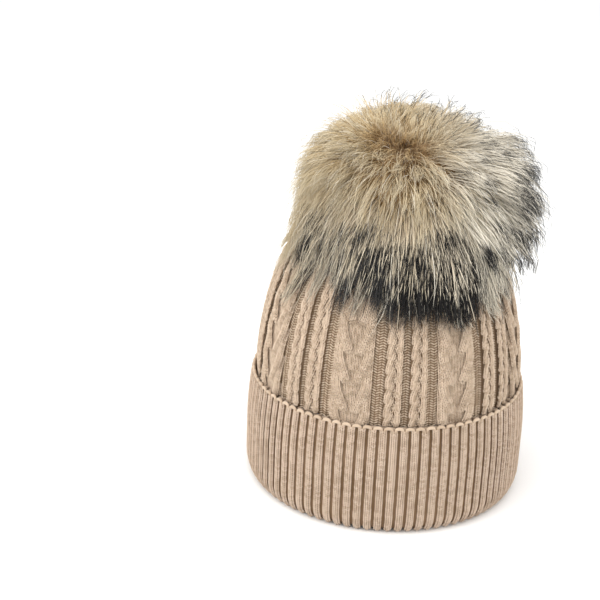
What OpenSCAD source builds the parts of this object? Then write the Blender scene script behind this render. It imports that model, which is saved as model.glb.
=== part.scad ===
// Knitted beanie with a turned-up ribbed cuff, a cabled crown and a fur pompom on a press stud.
// The hat stands on the fold of its cuff, with its axis on Z and Z = 0 at the fold.

/* [Cuff] */
// Greatest outside radius of the turned-up cuff
cuff_r = 85; // [80:0.5:95]
// Height of the turned-up cuff
cuff_h = 66; // [55:1:80]
// Thickness of the ribbed fabric in the cuff
cuff_t = 2.6; // [2:0.1:3.5]
// How far the cuff leans in from its belly to its top edge
cuff_lean = 2.3; // [1:0.1:2.8]
// Width that the fold rounds in at the foot
fold_w = 6.4; // [4:0.1:7]
// Height of that rounding
fold_h = 12.7; // [8:0.1:16]

/* [Hat] */
// Outside radius of the crown where it leaves the cuff
crown_r = 79.7; // [75:0.1:79.8]
// Height of the crown above the cuff
crown_h = 106; // [90:1:125]
// Thickness of the cabled fabric
crown_t = 3.4; // [2.6:0.1:4]
// Thickness of the ribbed band behind the cuff
band_t = 3; // [2:0.1:3.5]
// How late the side of the crown starts to lean in
crown_side = 1.8; // [1.4:0.1:2.4]
// How flat the top of the crown is
crown_top = 3.5; // [2.5:0.1:4.5]
// Width of the seam up the back
seam_w = 2.4; // [1.6:0.1:4]

/* [Press stud] */
// Radius of each half's sewing plate
stud_plate_r = 9; // [8:0.1:10]
// Thickness of each plate
plate_t = 1; // [0.8:0.1:1.2]
// Radius of the stud's bead
bead_r = 3; // [2.4:0.1:3.1]
// Clearance between parts that turn on each other
clearance = 0.4; // [0.3:0.05:0.5]

/* [Pompom] */
// Radius over the long guard hair
fur_r = 83; // [70:1:85]
// Height of the fur above the crown
fur_h = 68; // [60:1:80]
// How far the fur hangs down over the crown
fur_drop = 44; // [20:1:45]
// Radius of the sewn pelt that the hair grows from
pelt_r = 23; // [19:0.5:26]
// Height of the pelt
pelt_h = 28.2; // [24:0.2:32]
// Radius over the short underfur
underfur_r = 46; // [40:0.5:52]

/* [Label] */
// Height of the care label
label_h = 18; // [12:1:20]
// How much of the band it goes round, in degrees
label_turn = 22; // [15:1:30]

/* [Hidden] */
$fn = 96;
steps = 20;                 // points along each curved outline
eps = 0.01;
touch = 0.05;               // hairline gap between a thread and what it lies against

// Cuff: its own outline and where the band hides behind it
foot_in = 76.6;             // radius of the head opening
floor_t = 4.6;              // thickness of the fold
belly_z = cuff_h / 2;
edge_w = 2.6;               // cast-on edge
edge_h = 1.8;
seam_foot = floor_t + 2;    // the cuff's seam starts just above the fold

// Band and crown
band_z = floor_t + clearance;
band_r = foot_in + band_t;
seam_in = foot_in + band_t / 2;   // the band's seam lies in the outer half of its thickness
crown_z = cuff_h + crown_h;
gather_sag = 0.6;           // how much thicker the gathered fabric is at the top
crown_in_z = crown_z - crown_t - gather_sag;
gather_r = 5;               // opening that the gathering yarn closes
yarn_r = 1.1;
knot_r = 1.8;
label_top = cuff_h + label_h + 2; // the label hangs inside the crown, just above the band
label_t = 0.6;
label_r = dome(crown_r - crown_t, crown_h - crown_t, label_top - cuff_h) - touch;
patch_r = 18;
patch_t = 1.5;

// Press stud, stacked on top of the crown
socket_wall_z = crown_z + plate_t;
socket_h = 3;
socket_in = 4.3;
socket_lip = 3.5;
socket_lip_t = 1;
socket_top = socket_wall_z + socket_h;
stud_z = socket_top + clearance;
backing_z = stud_z + plate_t;
socket_wall_t = 0.9;
socket_floor_t = 0.2;
spring_t = 0.8;
spring_gap = 0.3;           // room for the ring to open inside the socket
spring_z = socket_wall_z + 0.8;
bead_z = socket_wall_z + 0.6;
neck_r = bead_r - 0.7;      // the neck that the spring closes on
hole_at = 6.6;              // circle of the sewing holes
hole_r = 1.1;
thread_gap = 0.1;           // room round the thread in a sewing hole
stitch_w = 1.6;
stitch_t = 0.7;
stitch_l = 1;               // part of a stitch that shows past the plate's edge

// Pompom, stacked on the stud
backing_r = 16;
backing_t = 1.5;
pelt_z = backing_z + backing_t;
pelt_t = 1.4;
pelt_sink = 0.8;            // how much of the ball is flattened at its foot
pelt_mid = pelt_z + pelt_h / 2 - pelt_sink;
pelt_open = 6;
thread_r = 0.65;
under_z = crown_z + 3.2;    // the underfur starts just above the socket's plate
under_mid = under_z + 18;
under_up = 30;
under_down = 20;
join_turn = 3;              // angle by which an upper outline starts clear of the lower one's end
fur_mid = crown_z + 8;
fur_gap = 2.5;              // room between the hanging fur and the crown
lip_z = crown_z - fur_drop;
lip_r = 75;
skirt_top = 4;              // depth below the crown's top at which the hair starts to hang

// Outside and inside radius of the cuff's wall at a height above the fold
function cuff_out(z) = cuff_r - cuff_lean * pow(max(0, (z - belly_z) / (cuff_h - belly_z)), 2);
function cuff_in(z) = cuff_out(z) - cuff_t;

// Radius of a crown of base radius r and height h at a height z above the cuff
function dome(r, h, z) = r * pow(max(0, 1 - pow(z / h, crown_side)), 1 / crown_top);
function crown_out(z) = dome(crown_r, crown_h, z - cuff_h);

// Half an ellipse's outline from one angle to another, in the plane of the axis
function oval(r, h, z, from, to) =
    [for (i = [0 : steps]) let (a = from + (to - from) * i / steps) [r * cos(a), z + h * sin(a)]];

// Slab up the back of the hat, where the fabric is sewn up
module back_slab(from_r, from_z, to_z) {
    translate([-seam_w / 2, from_r, from_z]) cube([seam_w, cuff_r - from_r + 5, to_z - from_z]);
}

// --- Cuff -------------------------------------------------------------------------------

module cuff_wall() {
    rise = [for (i = [0 : steps]) let (a = 90 * i / steps)
            [cuff_r - fold_w * (1 - sin(a)), fold_h * (1 - cos(a))]];
    belly = [for (i = [1 : steps]) let (z = belly_z + (cuff_h - belly_z) * i / steps) [cuff_out(z), z]];
    back = [for (i = [0 : steps]) let (z = cuff_h - (cuff_h - belly_z) * i / steps) [cuff_in(z), z]];
    rotate_extrude() polygon(concat([[foot_in, 0]], rise, [[cuff_r, belly_z]], belly, back,
        [[cuff_in(0), fold_h], [band_r + clearance, floor_t], [foot_in, floor_t]]));
}

module turned_cuff() {
    color("tan") difference() {
        cuff_wall();
        back_slab(foot_in, seam_foot, cuff_h + 1);
    }
}

module cuff_edge() {
    mid = cuff_out(cuff_h) - cuff_t / 2;
    color("wheat") rotate_extrude()
        polygon([for (i = [0 : steps]) let (a = 180 * i / steps)
                 [mid + edge_w / 2 * cos(a), cuff_h + edge_h * sin(a)]]);
}

module cuff_seam() {
    color("tan") intersection() {
        cuff_wall();
        back_slab(foot_in, seam_foot, cuff_h);
    }
}

// --- Hat ------------------------------------------------------------------------------------

module band_wall() {
    translate([0, 0, band_z]) difference() {
        cylinder(r = band_r, h = cuff_h - band_z);
        translate([0, 0, -1]) cylinder(r = foot_in, h = cuff_h);
    }
}

module rib_band() {
    color("tan") difference() {
        band_wall();
        back_slab(seam_in, band_z - 1, cuff_h + 1);
    }
}

module band_seam() {
    color("tan") intersection() {
        band_wall();
        back_slab(seam_in, band_z, cuff_h);
    }
}

module crown_wall() {
    inner_r = crown_r - crown_t;
    inner_h = crown_h - crown_t;
    inner_top = crown_in_z - cuff_h;
    outer = [for (i = [0 : steps]) let (z = crown_h * sin(90 * i / steps))
             [dome(crown_r, crown_h, z), cuff_h + z]];
    inner = [for (i = [0 : steps]) let (z = inner_top * cos(90 * i / steps))
             [dome(inner_r, inner_h, z), cuff_h + z]];
    difference() {
        rotate_extrude() polygon(concat(outer, [[0, crown_in_z]], inner));
        translate([0, 0, crown_in_z - 1]) cylinder(r = gather_r, h = crown_t + 3);
    }
}

module crown_knit() {
    color("tan") difference() {
        crown_wall();
        back_slab(gather_r - 1, cuff_h - 1, crown_z + 1);
    }
}

module crown_seam() {
    color("tan") intersection() {
        crown_wall();
        back_slab(gather_r - 1, cuff_h, crown_z);
    }
}

module gather_yarn() {
    color("wheat") translate([0, 0, crown_z - crown_t / 2])
        rotate_extrude() translate([gather_r - yarn_r - touch, 0]) circle(r = yarn_r);
}

module gather_knot() {
    color("wheat") translate([0, 0, crown_in_z + knot_r]) sphere(r = knot_r);
}

module backing_patch() {
    color("linen") translate([0, 0, crown_in_z - patch_t]) cylinder(r = patch_r, h = patch_t);
}

module patch_stitches() {
    count = 24;
    inset = 3;
    size = [0.8, 1.6, 0.5];
    color("wheat") for (i = [0 : count - 1]) rotate(i * 360 / count)
        translate([patch_r - inset, -size[1] / 2, crown_in_z - patch_t - size[2]]) cube(size);
}

// Four sewing holes round a plate
module sewing_holes(z) {
    for (a = [45 : 90 : 315]) rotate(a) translate([hole_at, 0, z - 1]) cylinder(r = hole_r, h = plate_t + 2);
}

// Four threads, each up through a hole, over the plate and down past its edge
module plate_stitches(plate_z, over_z) {
    foot = stud_plate_r + clearance / 2;
    start = hole_at - hole_r + thread_gap;
    for (a = [45 : 90 : 315]) rotate(a) {
        translate([hole_at, 0, plate_z]) cylinder(r = hole_r - thread_gap, h = plate_t);
        translate([start, -stitch_w / 2, over_z]) cube([foot + stitch_l - start, stitch_w, stitch_t]);
        translate([foot, -stitch_w / 2, min(plate_z, over_z)])
            cube([stitch_l, stitch_w, plate_t + stitch_t]);
    }
}

module snap_socket() {
    color("silver") difference() {
        union() {
            translate([0, 0, crown_z]) cylinder(r = stud_plate_r, h = plate_t);
            translate([0, 0, socket_wall_z]) cylinder(r = socket_in + socket_wall_t, h = socket_h);
        }
        translate([0, 0, socket_wall_z + socket_floor_t]) {
            cylinder(r = socket_in, h = socket_h - socket_lip_t);
            cylinder(r = socket_lip, h = socket_h);
        }
        sewing_holes(crown_z);
    }
}

module socket_stitches() {
    color("wheat") plate_stitches(crown_z, socket_wall_z);
}

module care_label() {
    color("white") translate([0, 0, label_top - label_h]) rotate(-label_turn / 2)
        rotate_extrude(angle = label_turn) translate([label_r - label_t, 0]) square([label_t, label_h]);
}

module label_stitches() {
    count = 4;
    turn = 5;
    size = [0.55, 4, 0.8];
    color("wheat") for (i = [0 : count - 1]) rotate((i - (count - 1) / 2) * turn)
        translate([label_r - label_t - size[0] - touch, -size[1] / 2, label_top - 2]) cube(size);
}

// --- Spring ring ------------------------------------------------------------------------------

module snap_spring() {
    color("gold") translate([0, 0, spring_z]) difference() {
        cylinder(r = socket_in - spring_gap, h = spring_t);
        translate([0, 0, -1]) cylinder(r = bead_r + clearance, h = spring_t + 2);
    }
}

// --- Pompom -------------------------------------------------------------------------------------

module snap_stud() {
    nose_h = 0.6;
    nose_r = bead_r - 0.5;
    bead_h = 0.9;
    neck_step = 0.1;
    color("silver") difference() {
        union() {
            translate([0, 0, stud_z]) cylinder(r = stud_plate_r, h = plate_t);
            translate([0, 0, bead_z + bead_h]) cylinder(r = neck_r, h = stud_z - bead_z - bead_h + plate_t / 2);
            translate([0, 0, bead_z]) cylinder(r1 = nose_r, r2 = bead_r, h = nose_h);
            translate([0, 0, bead_z + nose_h]) cylinder(r1 = bead_r, r2 = neck_r + neck_step, h = bead_h);
        }
        sewing_holes(stud_z);
    }
}

module stud_stitches() {
    color("wheat") plate_stitches(stud_z, stud_z - stitch_t);
}

module pompom_backing() {
    color("linen") translate([0, 0, backing_z]) cylinder(r = backing_r, h = backing_t);
}

module draw_thread() {
    color("wheat") translate([0, 0, pelt_z + thread_r])
        rotate_extrude() translate([pelt_open - thread_r - touch, 0]) circle(r = thread_r);
}

// Half outline of the pelt's ball from its flattened foot to its top, shrunk by a wall
function ball(wall) = let (h = pelt_h / 2 - wall, low = -asin(min(1, (pelt_mid - pelt_z - wall) / h)))
    oval(pelt_r - wall, h, pelt_mid, low, 90);

module fur_pelt() {
    color("burlywood") difference() {
        rotate_extrude() polygon(concat([[0, pelt_z]], ball(0)));
        rotate_extrude() polygon(concat([[0, pelt_z + pelt_t]], ball(pelt_t)));
        translate([0, 0, pelt_z - 1]) cylinder(r = pelt_open, h = pelt_t + 1 + eps);
    }
}

module pompom_filling() {
    color("white") rotate_extrude() polygon(concat([[0, pelt_z + pelt_t]], ball(pelt_t)));
}

// Outline of the underfur from its foot to its top
function under_outline() = concat(
    oval(underfur_r, under_down, under_mid, -asin((under_mid - under_z) / under_down), 0),
    oval(underfur_r, under_up, under_mid, join_turn, 90));

module underfur() {
    color("peru") rotate_extrude() polygon(concat(
        [[backing_r + clearance, under_z]], under_outline(),
        [for (i = [steps : -1 : 0]) ball(0)[i]],
        [[backing_r + clearance, pelt_z]]));
}

module guard_hair() {
    lip_turn = acos(lip_r / fur_r);
    drop = (fur_mid - lip_z) / sin(lip_turn);
    skirt = [for (i = [0 : steps]) let (z = crown_z - skirt_top - (fur_drop - skirt_top) * i / steps)
             [crown_out(z) + fur_gap, z]];
    side = oval(fur_r, drop, fur_mid, -lip_turn, 0);
    top = oval(fur_r, crown_z + fur_h - fur_mid, fur_mid, join_turn, 90);
    inner = under_outline();
    last = len(inner) - 1;
    color("saddlebrown") rotate_extrude()
        polygon(concat(skirt, side, top, [for (i = [last : -1 : 0]) inner[i]]));
}

turned_cuff();
cuff_edge();
cuff_seam();
rib_band();
band_seam();
crown_knit();
crown_seam();
gather_yarn();
gather_knot();
backing_patch();
patch_stitches();
snap_socket();
socket_stitches();
care_label();
label_stitches();
snap_spring();
snap_stud();
stud_stitches();
pompom_backing();
draw_thread();
fur_pelt();
pompom_filling();
underfur();
guard_hair();
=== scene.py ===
from math import ceil, cos, pi, radians, sin, sqrt, tau

import bpy
import numpy as np
from mathutils import Matrix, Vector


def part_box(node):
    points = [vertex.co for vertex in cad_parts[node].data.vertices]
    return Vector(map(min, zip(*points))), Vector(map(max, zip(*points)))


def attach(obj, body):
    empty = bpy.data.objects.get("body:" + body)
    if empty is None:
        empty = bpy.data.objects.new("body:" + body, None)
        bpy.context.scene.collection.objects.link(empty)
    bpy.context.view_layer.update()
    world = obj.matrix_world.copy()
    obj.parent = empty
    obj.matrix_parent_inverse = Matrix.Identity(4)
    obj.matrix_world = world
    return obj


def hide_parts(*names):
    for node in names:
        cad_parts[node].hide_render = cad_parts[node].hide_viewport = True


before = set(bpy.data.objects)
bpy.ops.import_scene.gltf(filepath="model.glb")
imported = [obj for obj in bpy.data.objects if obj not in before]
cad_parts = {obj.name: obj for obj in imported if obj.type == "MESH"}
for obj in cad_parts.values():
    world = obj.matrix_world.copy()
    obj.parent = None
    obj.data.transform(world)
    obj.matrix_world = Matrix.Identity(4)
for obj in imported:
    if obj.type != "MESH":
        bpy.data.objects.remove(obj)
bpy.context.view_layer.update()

# --- Camera, floor and light ---------------------------------------------------------------------
# A product lens looks down on the hat from a little left of it. The floor is a pale sweep, under a
# broad overhead softbox, a softer one on each side, and the white room round them.
camera_data = bpy.data.cameras.new("product_camera")
camera_data.sensor_width = 36
camera_data.lens = 75
camera = bpy.data.objects.new("product_camera", camera_data)
look_down = 21.5
lean = 2.1
camera.matrix_world = (Matrix.Translation((-0.0548, -0.700, 0.385))
                       @ Matrix.Rotation(radians(90 - look_down), 4, "X")
                       @ Matrix.Rotation(radians(lean), 4, "Z"))
bpy.context.scene.collection.objects.link(camera)
bpy.context.scene.camera = camera
bpy.context.scene.view_settings.view_transform = "Standard"


def linear(hex_colour):
    """An sRGB hex colour as linear red, green, blue and alpha."""
    channels = [int(hex_colour[i:i + 2], 16) / 255 for i in (1, 3, 5)]
    return tuple(c / 12.92 if c <= 0.04045 else ((c + 0.055) / 1.055) ** 2.4 for c in channels) + (1.0,)


def add(tree, kind, inputs=None, **settings):
    """Adds a node, sets its properties, and fills its inputs with values or links."""
    node = tree.nodes.new(kind)
    for name, value in settings.items():
        setattr(node, name, value)
    for name, value in (inputs or {}).items():
        socket = node.inputs[name]
        if isinstance(value, bpy.types.NodeSocket):
            tree.links.new(value, socket)
        else:
            socket.default_value = value
    return node


def finish_of(name, base_colour, **values):
    """A new material with one Principled shader, its base colour and its plain values set."""
    material = bpy.data.materials.new(name)
    material.use_nodes = True
    tree = material.node_tree
    shader = tree.nodes["Principled BSDF"]
    shader.inputs["Base Color"].default_value = linear(base_colour)
    for socket, value in values.items():
        shader.inputs[socket.replace("_", " ")].default_value = value
    return material, tree, shader


def shown(name, mesh):
    """Links a mesh into the scene as an object at the origin."""
    piece = bpy.data.objects.new(name, mesh)
    bpy.context.scene.collection.objects.link(piece)
    return piece


# painted sweep: dead matt, so that only a soft shadow shows on it
floor_half = 3.0
floor_mesh = bpy.data.meshes.new("floor")
floor_mesh.from_pydata([(-floor_half, -floor_half, 0), (floor_half, -floor_half, 0),
                        (floor_half, floor_half, 0), (-floor_half, floor_half, 0)], [], [(0, 1, 2, 3)])
floor_mesh.materials.append(finish_of("floor_paint", "#fbfbfa", Roughness=0.95, Specular_IOR_Level=0.0)[0])
floor = shown("floor", floor_mesh)

hat_middle = (0, 0, 0.12)
for name, place, size, power in [("overhead_softbox", (-0.10, -0.35, 1.30), 1.1, 9.0),
                                 ("left_softbox", (-1.20, -0.70, 0.80), 0.9, 7.0),
                                 ("right_fill", (1.20, -0.90, 0.60), 0.9, 2.5)]:
    lamp = bpy.data.lights.new(name, "AREA")
    lamp.shape, lamp.size, lamp.energy = "SQUARE", size, power
    light = bpy.data.objects.new(name, lamp)
    towards_hat = Matrix.Translation(hat_middle).translation - Matrix.Translation(place).translation
    light.matrix_world = (Matrix.Translation(place)
                          @ towards_hat.to_track_quat("-Z", "Y").to_matrix().to_4x4())
    bpy.context.scene.collection.objects.link(light)
room = bpy.data.worlds.new("white_room")
room.use_nodes = True
room.node_tree.nodes["Background"].inputs["Color"].default_value = linear("#ffffff")
room.node_tree.nodes["Background"].inputs["Strength"].default_value = 1.0
bpy.context.scene.world = room

# --- Cuff: ribbed fabric turned up over the band ----------------------------------------------------
# The cuff is a rib of two knit wales and one purl wale, eighty-six ribs round, in soft woollen yarn.
# It is turned up, so its foot is a fold and its top is the cast-on edge. Every stitch is a leaning pair of
# yarn leaves; the purl side of the cloth lies behind and between them, coloured darker than the stitches as
# painted shade.
MM = 0.001
cuff_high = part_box("turned_cuff")[1]
cuff_r, cuff_top = cuff_high[0], cuff_high[2]
cuff_lean = 2.3 * MM
fold_w, fold_h = 6.4 * MM, 12.7 * MM
head_r = 76.6 * MM
fold_floor = 4.6 * MM
ribs = 86
course = 1.5 * MM


def path_of(points, step=0.5 * MM):
    """An outline resampled at even steps: rows of radius, height and outward normal, and the distances."""
    line = np.array(points, float)
    along = np.concatenate([[0], np.cumsum(np.linalg.norm(np.diff(line, axis=0), axis=1))])
    at = np.linspace(0, along[-1], max(2, int(round(along[-1] / step)) + 1))
    r, z = (np.interp(at, along, line[:, i]) for i in (0, 1))
    dr, dz = np.gradient(r), np.gradient(z)
    size = np.hypot(dr, dz)
    return np.column_stack([r, z, dz / size, -dr / size]), at


def lay(path, s, angle, lift):
    """The point at a distance along an outline, turned round the axis and lifted off the outline."""
    rows, at = path
    r, z, nr, nz = (np.interp(s, at, rows[:, i]) for i in range(4))
    out = r + nr * lift
    return np.stack([out * np.cos(angle), out * np.sin(angle), z + nz * lift], -1)


def shell(name, outer, inner, material):
    """A closed wall between two grids of points that go round the axis, joined at both ends."""
    rows, turns = outer.shape[:2]
    i, j = np.meshgrid(np.arange(rows - 1), np.arange(turns), indexing="ij")
    a, b = i * turns + j, i * turns + (j + 1) % turns
    skin = np.stack([a, b, b + turns, a + turns], -1).reshape(-1, 4)
    back = rows * turns
    k = np.arange(turns)
    k2 = (k + 1) % turns
    last = (rows - 1) * turns
    low = np.stack([k2, k, k + back, k2 + back], -1)
    top = np.stack([k + last, k2 + last, k2 + last + back, k + last + back], -1)
    mesh = bpy.data.meshes.new(name)
    mesh.from_pydata(np.concatenate([outer.reshape(-1, 3), inner.reshape(-1, 3)]).tolist(), [],
                     np.concatenate([skin, skin[:, ::-1] + back, low, top]).tolist())
    mesh.shade_smooth()
    mesh.materials.append(material)
    return shown(name, mesh)


def knit_yarn(name, light, dark, sheen):
    """Woollen yarn: matt and soft. Loose fibres scatter light into a pale bloom at grazing angles, and each
    stitch takes the dye a little differently. The furrow between ribs is painted darker: a painted shade,
    mixed in where a point's furrow value is set."""
    material, tree, shader = finish_of(name, light, Roughness=0.95, Specular_IOR_Level=0.15,
                                       Sheen_Weight=sheen, Sheen_Roughness=0.5)
    place = add(tree, "ShaderNodeTexCoord").outputs["Object"]
    dye = add(tree, "ShaderNodeTexNoise", {"Vector": place, "Scale": 1 / (14 * MM), "Detail": 2.0})
    stitch = add(tree, "ShaderNodeAttribute", attribute_name="tone")
    both = add(tree, "ShaderNodeMath", {0: dye.outputs["Fac"], 1: stitch.outputs["Fac"]}, operation="ADD")
    share = add(tree, "ShaderNodeMapRange", {"Value": both.outputs[0], "From Min": 0.30, "From Max": 1.30})
    dyed = add(tree, "ShaderNodeMix", {"Factor": share.outputs["Result"], "A": linear(dark),
                                       "B": linear(light)}, data_type="RGBA")
    # painted shade: the furrow value mixes the colour towards dark brown, where the furrows between ribs
    # lie in shadow
    furrow = add(tree, "ShaderNodeAttribute", attribute_name="furrow")
    cloth = add(tree, "ShaderNodeMix", {"Factor": furrow.outputs["Fac"], "A": dyed.outputs["Result"],
                                        "B": linear("#6f5740")}, data_type="RGBA")
    tree.links.new(cloth.outputs["Result"], shader.inputs["Base Color"])
    # fibres, drawn coarser than real wool so that they show
    fibre = add(tree, "ShaderNodeTexNoise", {"Vector": place, "Scale": 1 / (0.55 * MM), "Detail": 3.0,
                                             "Roughness": 0.7})
    bump = add(tree, "ShaderNodeBump", {"Height": fibre.outputs["Fac"], "Strength": 0.55,
                                        "Distance": 0.3 * MM})
    tree.links.new(bump.outputs["Normal"], shader.inputs["Normal"])
    return material


def stitch_tree(name, leaves):
    """Geometry nodes that set one stitch on every point: two leaning leaves of yarn for a knit stitch,
    one lying leaf for a purl bump. Points carry the stitch's turn and size."""
    tree = bpy.data.node_groups.new(name, "GeometryNodeTree")
    tree.interface.new_socket("Points", in_out="INPUT", socket_type="NodeSocketGeometry")
    for label in ("Length", "Width", "Thickness", "Lean", "Uneven"):
        tree.interface.new_socket(label, in_out="INPUT", socket_type="NodeSocketFloat")
    tree.interface.new_socket("Seed", in_out="INPUT", socket_type="NodeSocketInt")
    tree.interface.new_socket("Yarn", in_out="INPUT", socket_type="NodeSocketMaterial")
    tree.interface.new_socket("Mesh", in_out="OUTPUT", socket_type="NodeSocketGeometry")
    given = add(tree, "NodeGroupInput").outputs
    ball = add(tree, "GeometryNodeMeshUVSphere", {"Segments": 4, "Rings": 3, "Radius": 0.5})
    size = add(tree, "ShaderNodeCombineXYZ", {"X": given["Width"], "Y": given["Thickness"],
                                              "Z": given["Length"]})
    stitch = add(tree, "GeometryNodeTransform", {"Geometry": ball.outputs[0],
                                                 "Scale": size.outputs[0]}).outputs[0]
    if leaves == 2:
        join = add(tree, "GeometryNodeJoinGeometry")
        for side in (-1, 1):
            lean_side = add(tree, "ShaderNodeMath", {0: given["Lean"], 1: side}, operation="MULTIPLY")
            turn = add(tree, "ShaderNodeCombineXYZ", {"Y": lean_side.outputs[0]})
            apart = add(tree, "ShaderNodeMath", {0: given["Width"], 1: side * 0.5}, operation="MULTIPLY")
            shift = add(tree, "ShaderNodeCombineXYZ", {"X": apart.outputs[0]})
            leaf = add(tree, "GeometryNodeTransform", {"Geometry": stitch, "Rotation": turn.outputs[0],
                                                       "Translation": shift.outputs[0]})
            tree.links.new(leaf.outputs[0], join.inputs[0])
        stitch = join.outputs[0]
    turn = add(tree, "GeometryNodeInputNamedAttribute", {"Name": "turn"}, data_type="FLOAT_VECTOR")
    euler = add(tree, "FunctionNodeEulerToRotation", {0: turn.outputs[0]})
    scale = add(tree, "GeometryNodeInputNamedAttribute", {"Name": "size"}, data_type="FLOAT_VECTOR")
    less = add(tree, "ShaderNodeMath", {0: 1.0, 1: given["Uneven"]}, operation="SUBTRACT")
    more = add(tree, "ShaderNodeMath", {0: 1.0, 1: given["Uneven"]}, operation="ADD")
    chance = add(tree, "FunctionNodeRandomValue", {"Seed": given["Seed"]}, data_type="FLOAT")
    tree.links.new(less.outputs[0], chance.inputs[2])
    tree.links.new(more.outputs[0], chance.inputs[3])
    uneven = add(tree, "ShaderNodeVectorMath", {0: scale.outputs[0], "Scale": chance.outputs[1]},
                 operation="SCALE")
    placed = add(tree, "GeometryNodeInstanceOnPoints", {
        "Points": given["Points"], "Instance": stitch, "Rotation": euler.outputs[0],
        "Scale": uneven.outputs[0]})
    tone = add(tree, "FunctionNodeRandomValue", {"Seed": given["Seed"]}, data_type="FLOAT")
    toned = add(tree, "GeometryNodeStoreNamedAttribute", {
        "Geometry": placed.outputs[0], "Name": "tone", "Value": tone.outputs[1]},
        data_type="FLOAT", domain="INSTANCE")
    real = add(tree, "GeometryNodeRealizeInstances", {"Geometry": toned.outputs[0]})
    smooth = add(tree, "GeometryNodeSetShadeSmooth", {"Geometry": real.outputs[0]})
    dressed = add(tree, "GeometryNodeSetMaterial", {"Geometry": smooth.outputs[0],
                                                    "Material": given["Yarn"]})
    add(tree, "NodeGroupOutput", {"Mesh": dressed.outputs[0]})
    return tree


def made_plain(name, mesh, tree, settings):
    """Runs a tree on a mesh and keeps the result as a plain mesh object, with no modifier."""
    source = shown(name + "_source", mesh)
    modifier = source.modifiers.new("build", "NODES")
    modifier.node_group = tree
    for item in tree.interface.items_tree:
        if item.in_out == "INPUT" and item.name in settings:
            modifier[item.identifier] = settings[item.name]
    source.update_tag()
    seen = source.evaluated_get(bpy.context.evaluated_depsgraph_get())
    plain = bpy.data.meshes.new_from_object(seen)
    plain.name = name
    bpy.data.objects.remove(source)
    bpy.data.meshes.remove(mesh)
    return shown(name, plain)


def with_values(mesh, values):
    """Adds point attributes to a mesh: one number a point, or three."""
    for label, given in values.items():
        wide = np.ndim(given) == 2
        data = mesh.attributes.new(label, "FLOAT_VECTOR" if wide else "FLOAT", "POINT").data
        data.foreach_set("vector" if wide else "value", np.asarray(given, np.float32).ravel())


def turn_of(across, along):
    """Euler turns that point a stitch's X across the fabric and its Z along it."""
    z = along / np.linalg.norm(along, axis=-1, keepdims=True)
    y = np.cross(z, across)
    y /= np.linalg.norm(y, axis=-1, keepdims=True)
    x = np.cross(y, z)
    return np.stack([np.arctan2(y[:, 2], z[:, 2]), np.arcsin(np.clip(-x[:, 2], -1, 1)),
                     np.arctan2(x[:, 1], x[:, 0])], -1)


def tile_map(piece, shapes):
    """A UV map that gives each of many like shapes in a mesh a small tile of its own."""
    mesh = piece.data
    loops = len(mesh.loops) // shapes
    grid = ceil(sqrt(shapes))
    which = np.minimum(np.arange(len(mesh.loops)) // loops, shapes - 1)
    round_it = tau * (np.arange(len(mesh.loops)) % loops) / loops
    u = (which % grid + 0.5 + 0.3 * np.cos(round_it)) / grid
    v = (which // grid + 0.5 + 0.3 * np.sin(round_it)) / grid
    uv = np.stack([u, v], -1).astype(np.float32).ravel()
    mesh.uv_layers.new(name="OFBake").data.foreach_set("uv", uv)


def stitched(name, path, chart, tree, yarn, seed, length=2.35 * MM, width=1.1 * MM, thickness=1.0 * MM,
             uneven=0.07):
    """Stitches laid on an outline from a chart: rows of distance, angle, lift, heading (up and across),
    roll and width share. Neighbouring leaves lean towards each other."""
    leaf_lean = radians(22)
    s, angle, lift, up, over, roll, share = chart.T
    reach = 0.2 * MM
    turning = reach / np.interp(s, path[1], path[0][:, 0])
    along = (lay(path, s + reach * up, angle + turning * over, lift)
             - lay(path, s - reach * up, angle - turning * over, lift))
    across = (lay(path, s - reach * over, angle + turning * up, lift + reach * roll)
              - lay(path, s + reach * over, angle - turning * up, lift - reach * roll))
    mesh = bpy.data.meshes.new(name + "_points")
    mesh.vertices.add(len(s))
    mesh.vertices.foreach_set("co", lay(path, s, angle, lift).astype(np.float32).ravel())
    with_values(mesh, {"turn": turn_of(across, along),
                       "size": np.column_stack([share, np.ones((len(s), 2))])})
    piece = made_plain(name, mesh, tree, {
        "Length": length, "Width": width, "Thickness": thickness, "Lean": leaf_lean,
        "Uneven": uneven, "Seed": seed, "Yarn": yarn})
    tile_map(piece, len(s))
    return piece


def columns(starts, ends, angles, lifts, rolls, share=1.0, step=course):
    """The chart of plain upright wales of stitches."""
    rows = np.arange(starts, ends, step)
    s, a = (grid.ravel() for grid in np.meshgrid(rows, angles, indexing="ij"))
    each = [np.tile(np.broadcast_to(value, np.shape(angles)), len(rows)) for value in (lifts, rolls, share)]
    return np.column_stack([s, a, each[0], s * 0 + 1, s * 0, each[1], each[2]])


knit_stitches = stitch_tree("knit stitches", 2)
purl_stitches = stitch_tree("purl stitches", 1)
rib_yarn = knit_yarn("wool_rib_yarn", "#cbb5a0", "#b39b84", 0.25)
# the cuff's backing is the same yarn, coloured darker as painted shade under and between the wales
rib_back_shaded = knit_yarn("wool_rib_backs_shaded", "#a88c72", "#775f47", 0.0)

# the outline runs from inside the fold, under it, and up the leaning outside
inside = [(head_r + 0.4 * MM, fold_floor), (head_r + 0.4 * MM, 1.4 * MM), (head_r + 1.0 * MM, 0.4 * MM)]
foot = [(cuff_r - fold_w * (1 - sin(t)), fold_h * (1 - cos(t))) for t in np.linspace(0.05, pi / 2, 24)]
belly = cuff_top / 2
side = [(cuff_r - cuff_lean * max(0, (z - belly) / belly) ** 2, z)
        for z in np.linspace(fold_h, cuff_top, 30)[1:]]
cuff_path = path_of(inside + foot + side)
cuff_length = cuff_path[1][-1]
rib_crest, rib_furrow, cuff_inner = -1.1 * MM, -2.1 * MM, -2.55 * MM
ridge_share = 0.72
cloth_rows, points_per_rib = 26, 6


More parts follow.
